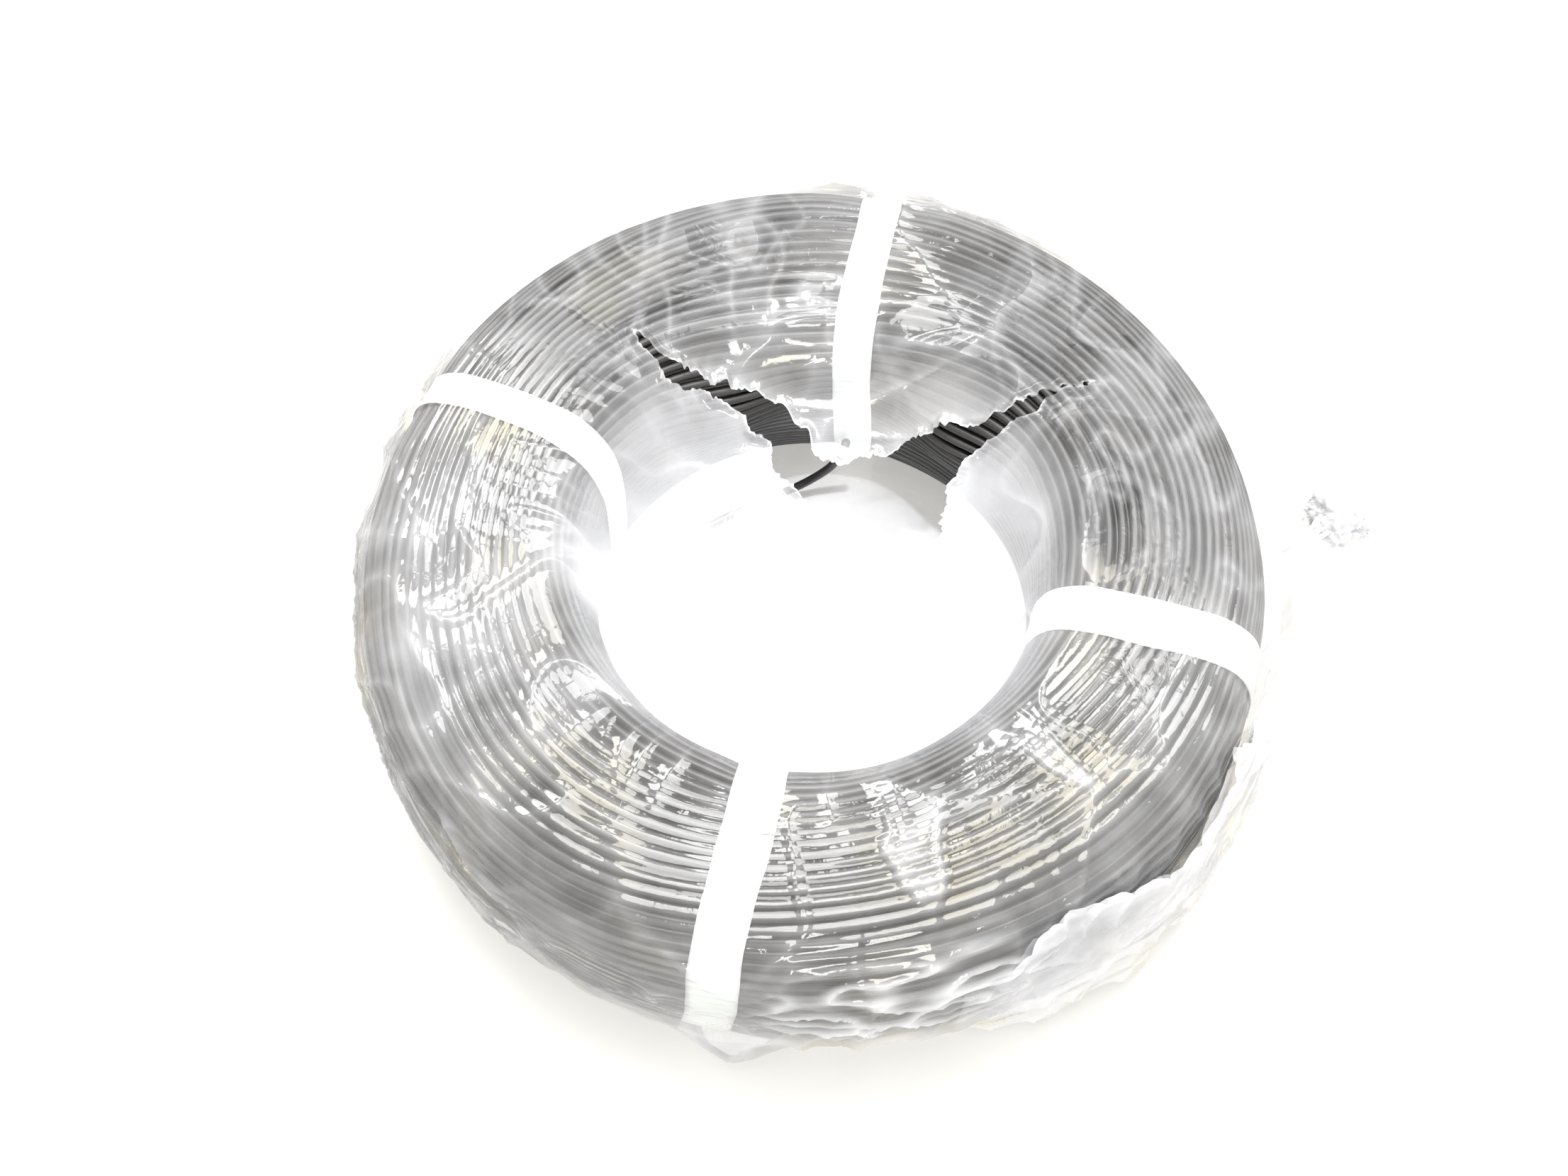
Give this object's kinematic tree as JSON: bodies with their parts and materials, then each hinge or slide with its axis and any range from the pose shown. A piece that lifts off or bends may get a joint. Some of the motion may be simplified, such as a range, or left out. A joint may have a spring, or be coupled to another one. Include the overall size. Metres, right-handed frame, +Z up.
{
  "type": "wrapped coil of silicone wire",
  "caption": "Coil of black silicone-insulated wire lying flat, tied with white tapes and wrapped in clear film that is torn open over the bore.",
  "frame": {"origin": "on the coil's axis, on the floor face of the film", "axes": "+Z up along the coil's axis, +Y away from the camera of the picture, +X towards the bunched end of the film"},
  "size_m": [0.2593, 0.2286, 0.07],
  "materials": {
    "silicone": "black silicone rubber insulation, soft sheen",
    "tape": "white plastic tie tape, satin",
    "film": "clear glossy shrink film, crinkled, milky where it is folded"
  },
  "bodies": {
    "root": {"wire_coil": "silicone", "wire_tail": "silicone", "tie_tape_front": "tape", "tie_tape_right": "tape", "tie_tape_back": "tape", "tie_tape_left": "tape", "wrap_film": "film", "wrap_film_knot": "film"}
  },
  "joints": []
}
